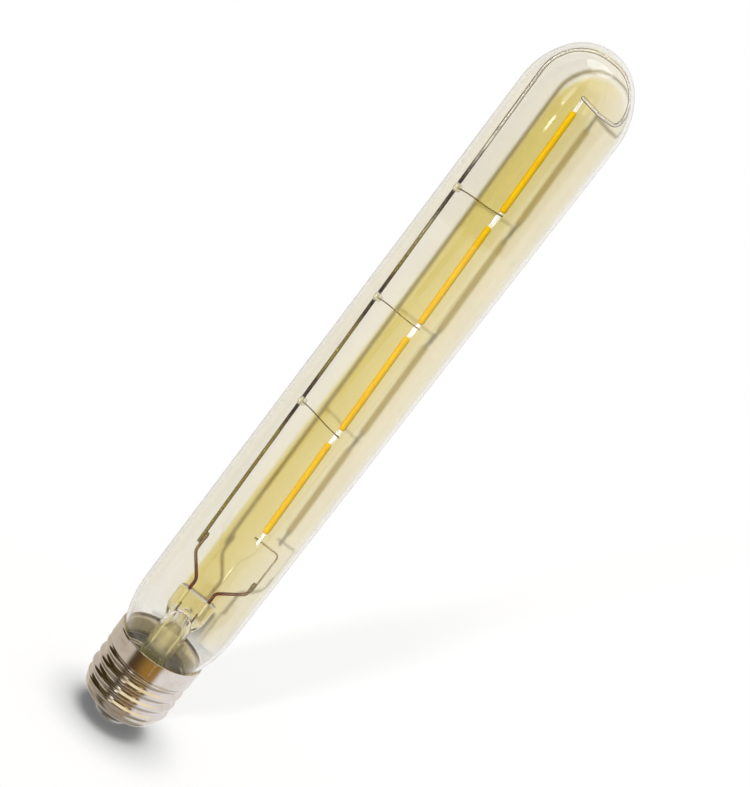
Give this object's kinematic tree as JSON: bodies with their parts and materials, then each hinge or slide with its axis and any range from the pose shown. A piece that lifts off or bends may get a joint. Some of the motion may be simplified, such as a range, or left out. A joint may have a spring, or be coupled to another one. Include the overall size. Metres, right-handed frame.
{
  "type": "tubular light bulb",
  "caption": "Clear amber glass tube lamp with a domed end, a line of yellow filament strips on a support wire inside, and a screw cap of bright nickel at the other end.",
  "frame": {"origin": "centre of the underside of the centre contact, at the very end of the cap", "axes": "+Z along the lamp from the cap to the dome, +X towards the filaments from the support wire"},
  "size_m": [0.03, 0.03, 0.225],
  "materials": {
    "amber_glass": "clear, tinted amber",
    "stem_glass": "clear",
    "bead_glass": "clear",
    "nickel_plate": "bright nickel plate on brass",
    "contact_metal": "tinned",
    "black_insulator": "glossy black fused glass",
    "cement": "brown basing cement",
    "lead_wire": "copper-clad wire, heat-darkened near the glass",
    "outer_wire": "copper",
    "nickel_wire": "drawn nickel wire",
    "phosphor": "phosphor-loaded silicone, satin",
    "chip_strip": "sintered ceramic strip",
    "pin_metal": "punched metal strip",
    "board": "satin",
    "capacitor_can": "sleeved can",
    "black_package": "moulded",
    "resistor_body": "lacquered"
  },
  "bodies": {
    "root": {"basing_cement": "cement", "bridge_rectifier": "black_package", "cap_insulator": "black_insulator", "cap_shell": "nickel_plate", "capacitor": "capacitor_can", "centre_contact": "contact_metal", "contact_pin": "contact_metal", "driver_board": "board", "driver_chip": "black_package", "end_wire": "nickel_wire", "exhaust_tube": "stem_glass", "filament_1_chips": "chip_strip", "filament_1_coat": "phosphor", "filament_1_pin_bottom": "pin_metal", "filament_1_pin_top": "pin_metal", "filament_2_chips": "chip_strip", "filament_2_coat": "phosphor", "filament_2_pin_bottom": "pin_metal", "filament_2_pin_top": "pin_metal", "filament_3_chips": "chip_strip", "filament_3_coat": "phosphor", "filament_3_pin_bottom": "pin_metal", "filament_3_pin_top": "pin_metal", "filament_4_chips": "chip_strip", "filament_4_coat": "phosphor", "filament_4_pin_bottom": "pin_metal", "filament_4_pin_top": "pin_metal", "fuse_resistor": "resistor_body", "glass_bead_1": "bead_glass", "glass_bead_2": "bead_glass", "glass_bead_3": "bead_glass", "glass_bulb": "amber_glass", "lead_left": "lead_wire", "lead_right": "lead_wire", "outer_lead_left": "outer_wire", "outer_lead_right": "outer_wire", "shell_wire": "outer_wire", "stem": "stem_glass", "support_wire": "nickel_wire", "tie_wire_1": "nickel_wire", "tie_wire_2": "nickel_wire", "tie_wire_3": "nickel_wire"}
  },
  "joints": []
}
